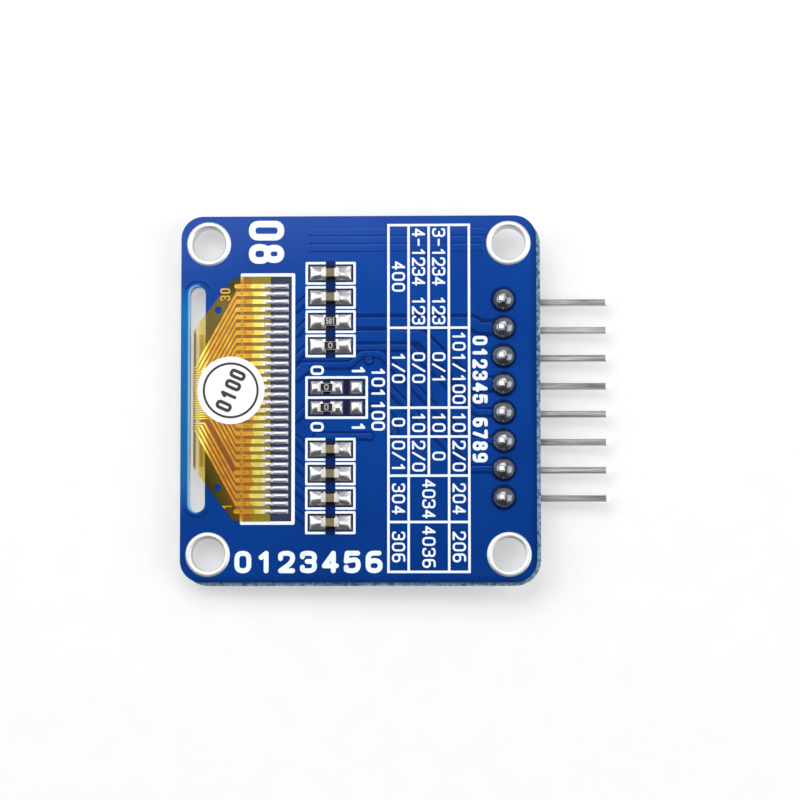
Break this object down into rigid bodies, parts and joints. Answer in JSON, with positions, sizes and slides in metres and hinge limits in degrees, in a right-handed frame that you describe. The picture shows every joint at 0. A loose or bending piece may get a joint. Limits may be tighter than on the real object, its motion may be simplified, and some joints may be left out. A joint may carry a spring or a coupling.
{
  "type": "oled display module",
  "caption": "Small OLED display module: blue circuit board with the panel on its front, a flex cable folded through a slot, chip parts and a right-angle pin header.",
  "frame": {"origin": "centre of the four mounting holes, on the component face of the board", "axes": "+X towards the pin header, +Y along the row of pins, +Z out of the component face; the display looks along -Z"},
  "size_m": [0.0386, 0.0333, 0.0054],
  "materials": {
    "solder_mask": "glossy blue lacquer over copper",
    "tinned_pads": "hot tinned, slightly wavy",
    "solder": "bright to grey solder",
    "white_print": "white ink",
    "panel_glass": "polished clear glass",
    "cap_glass": "etched grey glass",
    "emitter": "dark mirror",
    "desiccant": "matte sheet",
    "polarizer": "glossy black film",
    "silicon": "polished die",
    "tape": "foam tape",
    "polyimide": "amber film",
    "copper": "copper under a clear amber cover",
    "sticker_paper": "white paper",
    "header_plastic": "moulded black",
    "pin_metal": "plated, drawn along its length",
    "end_metal": "tinned",
    "capacitor_ceramic": "matt fired ceramic",
    "resistor_ceramic": "white alumina",
    "resistor_glaze": "black glaze"
  },
  "bodies": {
    "root": {"circuit_board": "solder_mask", "mounting_hole_plating": "tinned_pads", "header_hole_plating": "tinned_pads", "flex_landing_pads": "tinned_pads", "component_pads": "tinned_pads", "flex_solder": "solder", "header_solder": "solder", "component_solder": "solder", "legend_print": "white_print", "oled_substrate_glass": "panel_glass", "oled_rear_cap": "cap_glass", "emitter_layer": "emitter", "desiccant_sheet": "desiccant", "front_polarizer": "polarizer", "driver_chip": "silicon", "adhesive_tape": "tape", "flex_film": "polyimide", "flex_traces": "copper", "inspection_sticker": "sticker_paper", "header_body": "header_plastic", "header_pin_1": "pin_metal", "header_pin_2": "pin_metal", "header_pin_3": "pin_metal", "header_pin_4": "pin_metal", "header_pin_5": "pin_metal", "header_pin_6": "pin_metal", "header_pin_7": "pin_metal", "header_pin_8": "pin_metal", "capacitor_end_caps": "end_metal", "resistor_end_caps": "end_metal", "capacitor_1": "capacitor_ceramic", "capacitor_2": "capacitor_ceramic", "capacitor_3": "capacitor_ceramic", "capacitor_4": "capacitor_ceramic", "capacitor_5": "capacitor_ceramic", "capacitor_6": "capacitor_ceramic", "resistor_1": "resistor_ceramic", "resistor_2": "resistor_ceramic", "resistor_3": "resistor_ceramic", "resistor_4": "resistor_ceramic", "resistor_overcoat": "resistor_glaze"}
  },
  "joints": []
}
